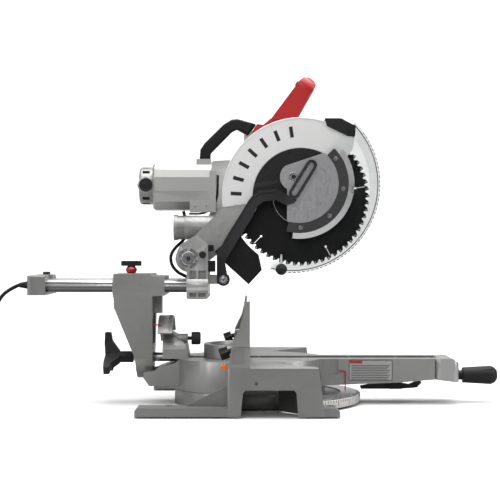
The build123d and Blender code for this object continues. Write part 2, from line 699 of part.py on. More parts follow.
motor_section = [
    (14, 466),
    (14, 497),
    (21, 516),
    (38, 531),
    (102, 531),
    (121, 514),
    (127, 481),
    (121, 447),
    (104, 426),
    (36, 426),
    (20, 444),
]
case_rear_x = -86.0
with BuildPart() as motor_housing:
    prism_x(motor_section, motor_rear_x, case_rear_x, corner=5)
    chamfer(motor_housing.edges().group_by(Axis.X)[0], 4)
    for z in (466, 497):
        block(motor_rear_x + 5, case_rear_x - 4, 13, 15, z - 0.8, z + 0.8, mode=Mode.SUBTRACT)
    block(motor_rear_x + 20, motor_rear_x + 24, 10, 130, 420, 427, mode=Mode.SUBTRACT)
    block(case_rear_x - 4, -76, 14, 25.5, 448, 512)
    block(-134, -76, 12, 25.5, 420, 448)
    block(-120, -88, 34, 86, 522, 540)
    rod_x(motor_y, motor_z, 40, motor_rear_x + 8, case_rear_x + 1, mode=Mode.SUBTRACT)
save(motor_housing, "motor_housing")

cap_r, brush_r = 42.0, 15.0
with BuildPart() as motor_end_cap:
    rod_x(motor_y, motor_z, cap_r, -249, motor_rear_x)
    fillet(motor_end_cap.edges().group_by(Axis.X)[0], 7)
    for step in range(12):
        with Locations(Location((-233, motor_y, motor_z), (30 * step + 15, 0, 0))):
            with Locations((0, 0, cap_r)):
                Box(16, 9, 10, mode=Mode.SUBTRACT)
    rod_y(-232, motor_z, brush_r, 0, 36, mode=Mode.SUBTRACT)
    rod_y(-232, motor_z, brush_r, 104, 140, mode=Mode.SUBTRACT)
save(motor_end_cap, "motor_end_cap")

with BuildPart() as brush_caps:
    for near, far in ((18, 36), (104, 122)):
        rod_y(-232, motor_z, brush_r - 0.1, near, far)
save(brush_caps, "brush_caps")

with BuildPart() as armature:
    rod_x(motor_y, motor_z, worm_r, -205, 128)
    rod_x(motor_y, motor_z, 32, -190, -110)
    rod_x(motor_y, motor_z, 14, -204, -194)
save(armature, "armature")

with BuildPart() as carry_handle:
    grip = [
        (-114, 536),
        (-112, 562),
        (-102, 577),
        (-60, 618.5),
        (-41, 630),
        (-28, 631),
        (15, 619.5),
        (-5, 594),
        (-30, 607.5),
        (-41, 602),
        (-89, 553),
        (-89, 536),
    ]
    prism_y(grip, 48, 72, corner=3)
    fillet(carry_handle.edges().group_by(Axis.Y)[0] + carry_handle.edges().group_by(Axis.Y)[-1], 5)
    block(-125, -80, 20, 95, 500, 540, mode=Mode.SUBTRACT)
    prism_y(neck, 56, 100, mode=Mode.SUBTRACT)
    block(3, 40, 40, 56, 590, 640, mode=Mode.SUBTRACT)
save(carry_handle, "carry_handle")

handle_y, handle_origin_x, handle_origin_z = 92.0, 46.0, 622.0
handle_plane = Plane(
    origin=(handle_origin_x, handle_y, handle_origin_z),
    x_dir=(0.562, 0, 0.827),
    z_dir=(0.827, 0, -0.562),
)
trigger_low, trigger_high, trigger_half = 10.0, 26.0, 22.0
with BuildPart() as d_handle:
    side_shape = [
        (41, 622),
        (112, 717),
        (121, 724),
        (133, 725),
        (144, 717.5),
        (148.4, 706),
        (134.7, 683),
        (109.6, 638.7),
        (100, 622),
    ]
    prism_y(side_shape, 35, 150, corner=4)
    with BuildSketch(handle_plane.offset(-30)):
        with Locations((67, 0)):
            RectangleRounded(138, 114, 30)
    extrude(amount=110, mode=Mode.INTERSECT)
    with BuildSketch(handle_plane.offset(-30)):
        with Locations((71, 0)):
            RectangleRounded(62, 68, 18)
    extrude(amount=110, mode=Mode.SUBTRACT)
    prism_y([(4, 601), (16, 619), (30, 617), (46, 631), (80, 640), (80, 606), (44, 600)], 42, 56)
    with BuildSketch(handle_plane.offset(trigger_low - 0.5)):
        with Locations((106, 0)):
            Rectangle(12, 2 * trigger_half + 1)
    extrude(amount=trigger_high - trigger_low + 1, mode=Mode.SUBTRACT)
    with BuildSketch(handle_plane.offset(-20)):
        with Locations((112, 0)):
            Circle(6.5)
    extrude(amount=26, mode=Mode.SUBTRACT)
    prism_y(neck, 56, 100, mode=Mode.SUBTRACT)
save(d_handle, "d_handle")

with BuildPart() as trigger:
    with BuildSketch(handle_plane.offset(trigger_low)):
        with Locations((94, 0)):
            RectangleRounded(20, 2 * trigger_half, 5)
    extrude(amount=trigger_high - trigger_low)
save(trigger, "trigger")

with BuildPart() as lock_off_button:
    with BuildSketch(handle_plane.offset(-4)):
        with Locations((112, 0)):
            Circle(6)
    extrude(amount=5.5)
save(lock_off_button, "lock_off_button")

# ---- blade and arbor ----------------------------------------------------
with BuildPart() as blade:
    rim_points = []
    for tooth in range(tooth_count):
        angle = tooth * 360 / tooth_count
        for radius, step in ((blade_r, 0), (blade_r - 2.4, 2.8), (blade_r - 8, 4.2), (blade_r - 8.5, 5.2)):
            rim_points.append(polar(arbor_x, arbor_z, radius, angle + step))
    prism_y(rim_points, -blade_thick / 2, blade_thick / 2)
    with BuildSketch(Plane.XZ.offset(-blade_thick)):
        with Locations((arbor_x, arbor_z)):
            Circle(10)
            for slot in range(5):
                with PolarLocations(0, 1, start_angle=9 + 72 * slot):
                    with Locations((134, 0)):
                        Rectangle(22, 1.2)
                    with Locations((123, 0)):
                        Circle(2.4)
    extrude(amount=2 * blade_thick, mode=Mode.SUBTRACT)
save(blade, "blade")

with BuildPart() as blade_flanges:
    rod_y(arbor_x, arbor_z, 30, -9, -blade_thick / 2)
    rod_y(arbor_x, arbor_z, 30, blade_thick / 2, 9)
    with BuildSketch(Plane.XZ.offset(9)):
        with Locations((arbor_x, arbor_z)):
            RegularPolygon(15, 6)
    extrude(amount=10)
    rod_y(arbor_x, arbor_z, 10, -16, 20, mode=Mode.SUBTRACT)
save(blade_flanges, "blade_flanges")

with BuildPart() as spindle:
    rod_y(arbor_x, arbor_z, 10, -16, 90)
    rod_y(arbor_x, arbor_z, wheel_r, 56, 86)
save(spindle, "spindle")

# ---- lower guard --------------------------------------------------------
rear_edge = [(0, 445), (80.7, 445), (80.7, 370), (67.6, 345), (58.5, 331), (57.5, 305), (47, 297), (20, 280), (0, 280)]
with BuildPart() as lower_guard_shell:
    band_y(shell_x, shell_z, 60, shell_out_r, -104, 44, shell_near_y, shell_near_y + 3)
    band_y(shell_x, shell_z, shell_in_r, shell_out_r, -104, 44, shell_near_y, shell_far_y)
    band_y(shell_x, shell_z, shell_in_r - 14, shell_out_r, -104, 44, shell_far_y - 3, shell_far_y)
    rod_y(ring_x, ring_z, 92, shell_near_y - 1, shell_near_y + 4, mode=Mode.SUBTRACT)
    prism_y(rear_edge, shell_near_y - 1, shell_near_y + 4, mode=Mode.SUBTRACT)
save(lower_guard_shell, "lower_guard_shell")

plate_near_y = shell_near_y - 3
with BuildPart() as guard_ring:
    band_y(ring_x, ring_z, ring_in_r, ring_out_r, -105, 45, plate_near_y, shell_near_y)
save(guard_ring, "guard_ring")

screw_angles = (-88, -47, -7, 34)
with BuildPart() as ring_screws:
    for angle in screw_angles:
        screw_x, screw_z = polar(ring_x, ring_z, 97, angle)
        rod_y(screw_x, screw_z, 5, plate_near_y - 0.7, plate_near_y)
save(ring_screws, "ring_screws")

nose_r = 30.0
with BuildPart() as guard_plate:
    with BuildSketch(Plane.XZ.offset(-(shell_near_y + 2.7))) as plate:
        with BuildLine():
            low_left = (80.7, ring_z - math.sqrt((ring_in_r - 0.1) ** 2 - (ring_x - 80.7) ** 2))
            nose_low = (80.7, swing_z - math.sqrt(nose_r ** 2 - (swing_x - 80.7) ** 2))
            nose_high = polar(swing_x, swing_z, nose_r, 124)
            rim_high = polar(ring_x, ring_z, ring_in_r - 0.1, 50.5)
            Line(low_left, nose_low)
            ThreePointArc(nose_low, (swing_x - nose_r, swing_z), nose_high)
            Line(nose_high, rim_high)
            ThreePointArc(rim_high, polar(ring_x, ring_z, ring_in_r - 0.1, -28), low_left)
        make_face()
    extrude(plate.sketch, amount=5.7)
    rod_y(roller_x, roller_z, 5, plate_near_y - 0.7, plate_near_y)
    rod_y(swing_x, swing_z, swing_r + running_gap, -50, -30, mode=Mode.SUBTRACT)
save(guard_plate, "guard_plate")

with BuildPart() as guard_knob:
    rod_y(67, 297, 5, -54, shell_near_y)
    with Locations((68, -56, 294)):
        Sphere(12.5)
save(guard_knob, "guard_knob")

link_outline = [
    (-72, 262),
    (-72.5, 328),
    (-77.5, 332),
    (-61, 347),
    (-54.5, 360),
    (2, 451),
    (20, 466),
    (58, 470),
    (80, 457),
    (103, 446),
    (96, 438.8),
    (79, 433.4),
    (56.6, 444.5),
    (29, 441.6),
    (13.7, 429),
    (5, 407),
    (-21, 366.7),
    (-54.5, 310.5),
    (-46, 262),
]
slot_angle = math.degrees(math.atan2(slot_top_z - roller_z, slot_top_x - roller_x))
slot_length = math.hypot(slot_top_x - roller_x, slot_top_z - roller_z)
slot_middle = ((roller_x + slot_top_x) / 2, (roller_z + slot_top_z) / 2)
with BuildPart() as guard_link:
    prism_y(link_outline, link_near_y, link_far_y, corner=2)
    rod_y(link_pin_x, link_pin_z, 14, link_near_y, link_far_y)
    with BuildSketch(Plane.XZ.offset(-link_far_y)):
        with Locations(slot_middle):
            SlotOverall(slot_length + 23.6, 23.6, rotation=slot_angle)
    extrude(amount=link_far_y - link_near_y)
    with BuildSketch(Plane.XZ.offset(-link_far_y)):
        with Locations(slot_middle):
            SlotOverall(slot_length + 11.4, 11.4, rotation=slot_angle)
    extrude(amount=link_far_y - link_near_y, mode=Mode.SUBTRACT)
    rod_y(link_pin_x, link_pin_z, 5 + running_gap, -60, -40, mode=Mode.SUBTRACT)
save(guard_link, "guard_link")


# ---- cords --------------------------------------------------------------
def corner_radii(points, name):
    """Each corner's arc radius, as large as its two runs allow, printed for checking."""
    radii = []
    for before, here, after in zip(points, points[1:], points[2:]):
        run_in = Vector(*here) - Vector(*before)
        run_out = Vector(*after) - Vector(*here)
        half_turn = math.radians(run_in.get_angle(run_out)) / 2
        radii.append(0.45 * min(run_in.length, run_out.length) / math.tan(half_turn))
    print(name, "radii", [round(radius, 1) for radius in radii])
    return radii


def cord_tube(points, radius, name):
    """Round tube along straight runs joined by tangent arcs."""
    with BuildLine() as route:
        FilletPolyline(*points, radius=corner_radii(points, name))
    start = Vector(*points[0])
    with BuildSketch(Plane(origin=start, z_dir=Vector(*points[1]) - start)) as section:
        Circle(radius)
    sweep(section.sketch, path=route.wires()[0])
    length = route.wires()[0].length
    print(name, "length", round(length, 1), "section x length", round(math.pi * radius**2 * length))


with BuildPart() as strain_relief:
    with BuildSketch(Plane.XZ) as half:
        with BuildLine():
            Polyline((-481, rail_z), (-481, 268), (-486, 268), (-511, 263.4), (-511, rail_z), close=True)
        make_face()
    revolve(half.sketch, axis=Axis((-481, 0, rail_z), (1, 0, 0)))
save(strain_relief, "strain_relief")

cord_points = [
    cord_exit,
    (-541, -3, 246),
    (-561, -10, 213),
    (-574, -18, 172),
    (-589, -25, 128),
    (-600, -36, 84),
    (-621, -44, 42),
    (-656, -50, 18),
    (-692, -53, 12.2),
    (-722, -53, 12),
]
with BuildPart() as power_cord:
    cord_tube(cord_points, cord_r, "power_cord")
save(power_cord, "power_cord")

coil_half = coil_rows * cord_r
with BuildPart() as cord_coil:
    rod_z(coil_x, 0, coil_mean_r + coil_half, 0, 2 * cord_r * coil_layers)
    rod_z(coil_x, 0, coil_mean_r - coil_half, -1, 30, mode=Mode.SUBTRACT)
save(cord_coil, "cord_coil")

with BuildPart() as power_plug:
    plug_y = coil_mean_r + coil_half - cord_r
    rod_x(plug_y, cord_r + 2, 5, coil_x - 46, coil_x - 24)
    block(coil_x - 82, coil_x - 46, plug_y - 12, plug_y + 12, 0, 20)
    for offset in (-6, 6):
        block(coil_x - 100, coil_x - 82, plug_y + offset - 0.8, plug_y + offset + 0.8, 7, 14)
    rod_x(plug_y, 4, 2.4, coil_x - 102, coil_x - 82)
save(power_plug, "power_plug")

loop_points = [
    (-150, 50, 423),
    (-143, 45, 402),
    (-140, 39, 378),
    (-149, 35, 357),
    (-166, 33, 343),
    (-178, 32, 325),
    (-176, 31, 303),
    (-162, 30, 286),
    (-137.2, 30, 274.3),
]
with BuildPart() as head_cord:
    cord_tube(loop_points, 3.5, "head_cord")
save(head_cord, "head_cord")
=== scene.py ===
import math

import bmesh
import bpy
from mathutils import Matrix, Vector


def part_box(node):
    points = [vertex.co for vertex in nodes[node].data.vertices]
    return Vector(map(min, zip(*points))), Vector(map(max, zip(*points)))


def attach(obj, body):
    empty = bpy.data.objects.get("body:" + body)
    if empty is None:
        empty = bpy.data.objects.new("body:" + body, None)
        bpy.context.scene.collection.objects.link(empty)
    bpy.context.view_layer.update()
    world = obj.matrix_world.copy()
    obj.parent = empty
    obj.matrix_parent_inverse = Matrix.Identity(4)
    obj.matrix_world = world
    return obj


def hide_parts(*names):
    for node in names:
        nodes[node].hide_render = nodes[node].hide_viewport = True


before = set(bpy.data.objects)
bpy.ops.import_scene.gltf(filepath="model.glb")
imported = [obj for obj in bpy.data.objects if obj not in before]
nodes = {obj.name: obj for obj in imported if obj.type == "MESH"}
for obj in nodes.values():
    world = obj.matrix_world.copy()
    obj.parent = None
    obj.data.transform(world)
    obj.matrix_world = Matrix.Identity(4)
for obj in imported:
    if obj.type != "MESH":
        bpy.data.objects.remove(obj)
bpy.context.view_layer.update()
MM = 0.001
UP = (0, 0, 1)
NEAR = (0, -1, 0)
RIGHT = (1, 0, 0)

# Places worked out from the frame, in metres.
guard_low, guard_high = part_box("upper_guard")
blade_low, blade_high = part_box("blade")
arbor = Vector(((blade_low[0] + blade_high[0]) / 2, 0, (blade_low[2] + blade_high[2]) / 2))
blade_r = (blade_high[0] - blade_low[0]) / 2


# ---- material helpers ---------------------------------------------------
def new_material(name):
    """A new node material, its node tree and its Principled shader."""
    material = bpy.data.materials.new(name)
    material.use_nodes = True
    tree = material.node_tree
    shader = tree.nodes["Principled BSDF"]
    return material, tree, shader


def noise(tree, scale, detail=4.0, rough=0.5, stretch=(1, 1, 1)):
    """Noise over the piece's own coordinates; scale is in features per metre."""
    coords = tree.nodes.new("ShaderNodeTexCoord")
    mapping = tree.nodes.new("ShaderNodeMapping")
    mapping.inputs["Scale"].default_value = stretch
    tree.links.new(coords.outputs["Object"], mapping.inputs["Vector"])
    texture = tree.nodes.new("ShaderNodeTexNoise")
    texture.inputs["Scale"].default_value = scale
    texture.inputs["Detail"].default_value = detail
    texture.inputs["Roughness"].default_value = rough
    tree.links.new(mapping.outputs["Vector"], texture.inputs["Vector"])
    return texture.outputs["Fac"]


def ramp(tree, factor, stops):
    """Colour ramp with (position, colour) stops."""
    node = tree.nodes.new("ShaderNodeValToRGB")
    elements = node.color_ramp.elements
    while len(elements) < len(stops):
        elements.new(0.5)
    for element, (position, colour) in zip(elements, stops):
        element.position = position
        element.color = (*colour, 1)
    tree.links.new(factor, node.inputs["Fac"])
    return node.outputs["Color"]


def spread(tree, factor, low, high):
    """Map a 0..1 factor to a low..high range."""
    node = tree.nodes.new("ShaderNodeMapRange")
    node.inputs["From Min"].default_value = 0.3
    node.inputs["From Max"].default_value = 0.7
    node.inputs["To Min"].default_value = low
    node.inputs["To Max"].default_value = high
    tree.links.new(factor, node.inputs["Value"])
    return node.outputs["Result"]


def bump(tree, shader, factor, strength, depth):
    """Bump from a height factor; depth is in metres."""
    node = tree.nodes.new("ShaderNodeBump")
    node.inputs["Strength"].default_value = strength
    node.inputs["Distance"].default_value = depth
    tree.links.new(factor, node.inputs["Height"])
    tree.links.new(node.outputs["Normal"], shader.inputs["Normal"])
    return node


def shade(colour, factor):
    """A colour made lighter or darker."""
    return tuple(min(1, channel * factor) for channel in colour)


def surface(name, colour, rough, metal=0.0, vary=0.08, grain=500, depth=0.00015, blotch=14,
            rough_vary=0.08, coat=0.0, wear=0.0, stretch=(1, 1, 1), specular=0.5):
    """Painted, cast or moulded surface: blotchy colour, uneven gloss, fine grain and paler worn edges."""
    material, tree, shader = new_material(name)
    blotches = noise(tree, blotch, 5, 0.6)
    base = ramp(tree, blotches, [(0.25, shade(colour, 1 - vary)), (0.75, shade(colour, 1 + vary))])
    if wear:
        geometry = tree.nodes.new("ShaderNodeNewGeometry")
        edge = ramp(tree, geometry.outputs["Pointiness"], [(0.52, (0, 0, 0)), (0.62, (1, 1, 1))])
        mix = tree.nodes.new("ShaderNodeMix")
        mix.data_type = "RGBA"
        tree.links.new(edge, mix.inputs["Factor"])
        tree.links.new(base, mix.inputs[6])
        mix.inputs[7].default_value = (*shade(colour, 1 + wear), 1)
        base = mix.outputs[2]
    tree.links.new(base, shader.inputs["Base Color"])
    gloss = spread(tree, noise(tree, grain * 0.2, 3), rough - rough_vary, rough + rough_vary)
    tree.links.new(gloss, shader.inputs["Roughness"])
    shader.inputs["Metallic"].default_value = metal
    shader.inputs["Coat Weight"].default_value = coat
    shader.inputs["Coat Roughness"].default_value = 0.12
    shader.inputs["Specular IOR Level"].default_value = specular
    bump(tree, shader, noise(tree, grain, 6, 0.6, stretch), 0.5, depth)
    return material


def clear_plastic(name):
    """Clear polycarbonate with faint haze and fine scratches."""
    material, tree, shader = new_material(name)
    haze = noise(tree, 30, 5)
    tint = ramp(tree, haze, [(0.3, (0.90, 0.92, 0.93)), (0.7, (0.97, 0.98, 0.98))])
    tree.links.new(tint, shader.inputs["Base Color"])
    tree.links.new(spread(tree, noise(tree, 90, 4), 0.02, 0.07), shader.inputs["Roughness"])
    shader.inputs["Transmission Weight"].default_value = 1.0
    shader.inputs["IOR"].default_value = 1.12
    shader.inputs["Alpha"].default_value = 0.5
    bump(tree, shader, noise(tree, 260, 3, 0.5, (1, 1, 8)), 0.12, 0.00003)
    return material


def turned_metal(name, colour, rough, axis):
    """Bright metal with fine lines round an axis, as left by turning or drawing."""
    material, tree, shader = new_material(name)
    stretch = [60, 60, 60]
    stretch["XYZ".index(axis)] = 900
    lines = noise(tree, 6, 4, 0.7, tuple(stretch))
    tint = ramp(tree, lines, [(0.3, shade(colour, 0.9)), (0.7, shade(colour, 1.06))])
    tree.links.new(tint, shader.inputs["Base Color"])
    tree.links.new(spread(tree, lines, rough * 0.7, rough * 1.5), shader.inputs["Roughness"])
    shader.inputs["Metallic"].default_value = 1.0
    bump(tree, shader, lines, 0.15, 0.00003)
    return material


def rail_with_painted_reflections(name):
    """Polished rail with painted reflections: its base colour is a ramp of light and dark bands set by
    which way its surface faces, standing in for the long reflections that run along it.
    """
    material, tree, shader = new_material(name)
    coords = tree.nodes.new("ShaderNodeTexCoord")
    split = tree.nodes.new("ShaderNodeSeparateXYZ")
    tree.links.new(coords.outputs["Normal"], split.inputs["Vector"])
    facing = tree.nodes.new("ShaderNodeMapRange")
    facing.inputs["From Min"].default_value = -1
    tree.links.new(split.outputs["Z"], facing.inputs["Value"])
    # Painted reflection bands: base colour stops from facing straight down (0) to straight up (1).
    painted_reflection_stops = ((0.0, 0.12), (0.15, 0.07), (0.30, 0.20), (0.38, 0.13), (0.455, 0.20), (0.53, 0.90),
               (0.60, 0.75), (0.68, 0.06), (0.76, 0.18), (0.835, 0.78), (0.91, 0.42), (1.0, 0.7))
    colours = [(place, (value, value, value * 1.01)) for place, value in painted_reflection_stops]
    tree.links.new(ramp(tree, facing.outputs["Result"], colours), shader.inputs["Base Color"])
    lines = noise(tree, 6, 4, 0.7, (900, 60, 60))
    tree.links.new(spread(tree, lines, 0.22, 0.34), shader.inputs["Roughness"])
    shader.inputs["Metallic"].default_value = 0.85
    bump(tree, shader, lines, 0.1, 0.00002)
    return material


def blade_metal(name):
    """Dark coated saw plate with rings of fine grinding marks about the arbor."""
    material, tree, shader = new_material(name)
    coords = tree.nodes.new("ShaderNodeTexCoord")
    move = tree.nodes.new("ShaderNodeVectorMath")
    move.operation = "SUBTRACT"
    move.inputs[1].default_value = arbor
    tree.links.new(coords.outputs["Object"], move.inputs[0])
    length = tree.nodes.new("ShaderNodeVectorMath")
    length.operation = "LENGTH"
    tree.links.new(move.outputs["Vector"], length.inputs[0])
    rings = tree.nodes.new("ShaderNodeTexNoise")
    rings.noise_dimensions = "1D"
    rings.inputs["Scale"].default_value = 700
    rings.inputs["Detail"].default_value = 5
    tree.links.new(length.outputs["Value"], rings.inputs["W"])
    fac = rings.outputs["Fac"]
    tint = ramp(tree, fac, [(0.3, (0.004, 0.004, 0.004)), (0.7, (0.010, 0.010, 0.011))])
    tree.links.new(tint, shader.inputs["Base Color"])
    tree.links.new(spread(tree, fac, 0.30, 0.46), shader.inputs["Roughness"])
    shader.inputs["Specular IOR Level"].default_value = 0.3
    shader.inputs["Metallic"].default_value = 0.0
    bump(tree, shader, fac, 0.2, 0.00004)
    return material


silver = surface("silver_paint", (0.31, 0.31, 0.305), 0.40, metal=0.72, vary=0.05, grain=900,
                 depth=0.00008, wear=0.5, rough_vary=0.04)
bright_silver = surface("bright_silver_paint", (0.84, 0.84, 0.835), 0.38, metal=0.45, vary=0.03,
                        grain=600, depth=0.00002)
base_silver = surface("base_casting_paint", (0.25, 0.25, 0.245), 0.42, metal=0.65, vary=0.06,
                      grain=700, depth=0.0002, wear=0.6)
grey_casting = surface("grey_casting", (0.27, 0.27, 0.265), 0.40, metal=0.7, vary=0.05, grain=800,
                       depth=0.0002, wear=0.5)
dark_plastic = surface("dark_plastic", (0.011, 0.011, 0.012), 0.52, vary=0.2, grain=1400,
                       depth=0.00010, wear=1.2, specular=0.3)
dark_rubber = surface("dark_rubber", (0.009, 0.009, 0.009), 0.68, vary=0.25, grain=900,
                      depth=0.00018, specular=0.25)
red_plastic = surface("red_plastic", (0.40, 0.006, 0.008), 0.36, vary=0.05, grain=1600,
                      depth=0.00006, coat=0.25)
ring_grey = surface("ring_grey", (0.045, 0.045, 0.047), 0.42, metal=0.3, vary=0.06, grain=900, depth=0.0001)
pale_casting = surface("pale_casting", (0.42, 0.42, 0.415), 0.36, metal=0.7, vary=0.05, grain=800,
                       depth=0.0001, wear=0.5)
scale_grey = surface("scale_grey", (0.36, 0.36, 0.35), 0.38, metal=0.3, vary=0.04, grain=600, depth=0.00004)
plate_grey = surface("plate_grey", (0.42, 0.42, 0.43), 0.36, metal=0.7, vary=0.05, grain=700,
                     depth=0.00008, stretch=(1, 1, 0.1))
# Painted highlight: a much lighter copy of the plate metal, used for the coned step round the guard ring.
painted_highlight_cone_metal = surface("cone_painted_highlight_finish", (0.75, 0.75, 0.76), 0.34, metal=0.9, vary=0.04, grain=500,
                       depth=0.00001)
orange_plastic = surface("orange_plastic", (0.62, 0.16, 0.02), 0.4, vary=0.06, grain=1200, depth=0.00006)
label_grey = surface("label_grey", (0.34, 0.35, 0.34), 0.45, vary=0.05, grain=900, depth=0.00003)
scale_white = surface("scale_enamel", (0.62, 0.61, 0.57), 0.4, vary=0.03, grain=600, depth=0.00004)
brass = turned_metal("brass", (0.62, 0.42, 0.18), 0.28, "X")
rail_painted_reflections = rail_with_painted_reflections("chrome_rail")
steel = turned_metal("bright_steel", (0.50, 0.50, 0.52), 0.24, "Y")
carbide = surface("carbide", (0.62, 0.62, 0.60), 0.28, metal=0.8, vary=0.05, grain=1500, depth=0.00005)
blade_dark = blade_metal("saw_plate")
clear = clear_plastic("clear_guard")

finish_of = {
    "base_casting": base_silver, "foot_pads": dark_rubber, "miter_scale": scale_white,
    "detent_plate": steel, "pivot_bolt": steel, "fence": silver, "left_sliding_fence": silver,
    "right_sliding_fence": silver, "left_fence_knob": dark_plastic, "right_fence_knob": dark_plastic,
    "turntable": silver, "kerf_plates": dark_plastic, "arm_front_cap": pale_casting,
    "miter_pointer": red_plastic, "bevel_trunnion": grey_casting, "bevel_scale": scale_grey,
    "bevel_shaft": steel, "lever_bracket": dark_plastic, "bevel_stop_pin": dark_plastic,
    "miter_handle": dark_plastic, "detent_lever": dark_plastic, "bevel_arm": grey_casting,
    "rail_bushings": brass, "bevel_lock_handle": dark_plastic, "slide_lock_knob": dark_plastic,
    "rails": rail_painted_reflections, "rear_bracket": grey_casting, "hinge_bracket": pale_casting, "pivot_pin": steel,
    "head_bumper": dark_rubber, "strain_relief": dark_rubber, "power_cord": dark_rubber,
    "cord_coil": dark_rubber, "power_plug": dark_rubber, "head_cord": dark_rubber,
    "head_lock_pin": dark_plastic, "upper_guard": bright_silver, "side_cover": dark_plastic,
    "guard_nose": dark_plastic, "gear_case": pale_casting, "dust_port": grey_casting,
    "dust_chute": dark_rubber, "motor_housing": silver, "motor_end_cap": silver,
    "brush_caps": dark_plastic, "carry_handle": dark_rubber, "d_handle": red_plastic,
    "trigger": dark_plastic, "lock_off_button": dark_plastic, "blade": blade_dark,
    "blade_flanges": steel, "spindle": steel, "armature": steel, "lower_guard_shell": clear,
    "guard_ring": ring_grey, "ring_screws": steel, "guard_plate": plate_grey,
    "guard_knob": dark_plastic, "guard_link": dark_plastic,
}
cad_edge, sharp_degrees = 0.0009, 32


def dress(name):
    """Give a CAD node its material and softly broken edges."""
    piece = nodes[name]
    piece.data.materials.clear()
    piece.data.materials.append(finish_of[name])
    weld = piece.modifiers.new("weld", "WELD")
    weld.merge_threshold = 0.00001
    soften = piece.modifiers.new("soften", "BEVEL")
    soften.width = cad_edge
    soften.segments = 2
    soften.limit_method = "ANGLE"
    soften.angle_limit = math.radians(sharp_degrees)
    soften.harden_normals = True


for node_name in nodes:
    dress(node_name)


# ---- piece helpers ------------------------------------------------------
def mm(x, y, z):
    """A place given in millimetres."""
    return Vector((x * MM, y * MM, z * MM))


def centre(name):
    """The middle of a CAD node's box."""
    low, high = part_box(name)
    return (Vector(low) + Vector(high)) / 2


def polar(middle, radius, degrees, y):
    """A point in the side view, at a radius and an angle about a place, at its own depth."""
    angle = math.radians(degrees)
    return Vector((middle.x + radius * math.cos(angle), y, middle.z + radius * math.sin(angle)))


def mesh_piece(name, body, material, build, edge=0.0004):
    """A new mesh piece with softly rounded edges: build fills a bmesh."""
    shape = bmesh.new()
    build(shape)
    bmesh.ops.recalc_face_normals(shape, faces=shape.faces)
    mesh = bpy.data.meshes.new(name)
    shape.to_mesh(mesh)
    shape.free()
    piece = bpy.data.objects.new(name, mesh)
    bpy.context.scene.collection.objects.link(piece)
    piece.data.materials.append(material)
    if edge:
        rounded = piece.modifiers.new("rounded", "BEVEL")
        rounded.width = edge
        rounded.segments = 2
        rounded.limit_method = "ANGLE"
        rounded.harden_normals = True
    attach(piece, body)
    return piece


def add_box(shape, middle, size, turn=None):
    """A box in a bmesh, turned by a matrix about its middle."""
    matrix = Matrix.Translation(middle) @ (turn or Matrix.Identity(4)) @ Matrix.Diagonal((*size, 1))
    bmesh.ops.create_cube(shape, size=1, matrix=matrix)


def add_plate(shape, outline, y_low, y_high):
    """A side-view outline of (x, z) points, thick in Y."""
    near = [shape.verts.new((x, y_low, z)) for x, z in outline]
    far = [shape.verts.new((x, y_high, z)) for x, z in outline]
    shape.faces.new(near)
    shape.faces.new(far[::-1])
    for i in range(len(outline)):
        j = (i + 1) % len(outline)
        shape.faces.new((near[i], near[j], far[j], far[i]))


def add_turned(shape, origin, direction, profile, sides=32):
    """A turned shape from (radius, distance along direction) pairs; a zero radius closes it."""
    frame_turn = Vector(direction).to_track_quat("Z", "Y").to_matrix().to_4x4()
    matrix = Matrix.Translation(origin) @ frame_turn
    rings = []
    for radius, along in profile:
        if radius == 0:
            rings.append([shape.verts.new(matrix @ Vector((0, 0, along)))])
            continue
        ring = []
        for step in range(sides):
            angle = 2 * math.pi * step / sides
            place = Vector((radius * math.cos(angle), radius * math.sin(angle), along))
            ring.append(shape.verts.new(matrix @ place))
        rings.append(ring)
    for one, two in zip(rings, rings[1:]):
        for step in range(sides):
            after = (step + 1) % sides
            if len(one) == 1 and len(two) == 1:
                continue
            if len(one) == 1:
                shape.faces.new((one[0], two[step], two[after]))
            elif len(two) == 1:
                shape.faces.new((one[step], one[after], two[0]))
            else:
                shape.faces.new((one[step], one[after], two[after], two[step]))


def add_turned_mm(shape, origin, direction, profile, sides=32):
    """A turned shape whose (radius, distance) pairs are in millimetres."""
    add_turned(shape, origin, direction, [(radius * MM, along * MM) for radius, along in profile], sides)


def add_plate_mm(shape, outline, y_low, y_high):
    """A plate whose (x, z) outline is in millimetres; its two faces are in metres."""
    add_plate(shape, [(x * MM, z * MM) for x, z in outline], y_low, y_high)


def add_screw(shape, origin, direction, radius, height):
    """A pan-head screw with a round socket, standing on origin."""
    profile = [(0, 0), (radius, 0), (radius, 0.55 * height), (0.84 * radius, height)]
    profile += [(0.5 * radius, height), (0.46 * radius, 0.3 * height), (0, 0.25 * height)]
    add_turned(shape, origin, direction, profile, 24)


def add_band(shape, middle, inner, outer, start, end, inner_y, outer_y, depth=0.0006, steps=72):
    """Part of a flat or coned ring in the side view, between two angles in degrees."""
    columns = []
    for step in range(steps + 1):
        angle = start + (end - start) * step / steps
        corners = (
            polar(middle, inner, angle, inner_y),
            polar(middle, outer, angle, outer_y),
            polar(middle, outer, angle, outer_y + depth),
            polar(middle, inner, angle, inner_y + depth),
        )
        columns.append([shape.verts.new(corner) for corner in corners])
    for one, two in zip(columns, columns[1:]):
        for i in range(4):
            j = (i + 1) % 4
            shape.faces.new((one[i], one[j], two[j], two[i]))
    shape.faces.new(columns[0])
    shape.faces.new(columns[-1][::-1])


# ---- cord ---------------------------------------------------------------
def nurbs(name, points, radius, material, body, resolution=5, preview=10):
    """A round tube on a smooth NURBS curve that the points steer."""
    curve = bpy.data.curves.new(name, "CURVE")
    curve.dimensions = "3D"
    curve.bevel_depth = radius
    curve.bevel_resolution = resolution
    curve.resolution_u = preview
    curve.use_fill_caps = True
    spline = curve.splines.new("NURBS")
    spline.points.add(len(points) - 1)
    for point, place in zip(spline.points, points):
        point.co = (*place, 1)
    spline.order_u = 3
    spline.use_endpoint_u = True
    piece = bpy.data.objects.new(name, curve)
    bpy.context.scene.collection.objects.link(piece)
    curve.materials.append(material)
    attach(piece, body)
    return piece


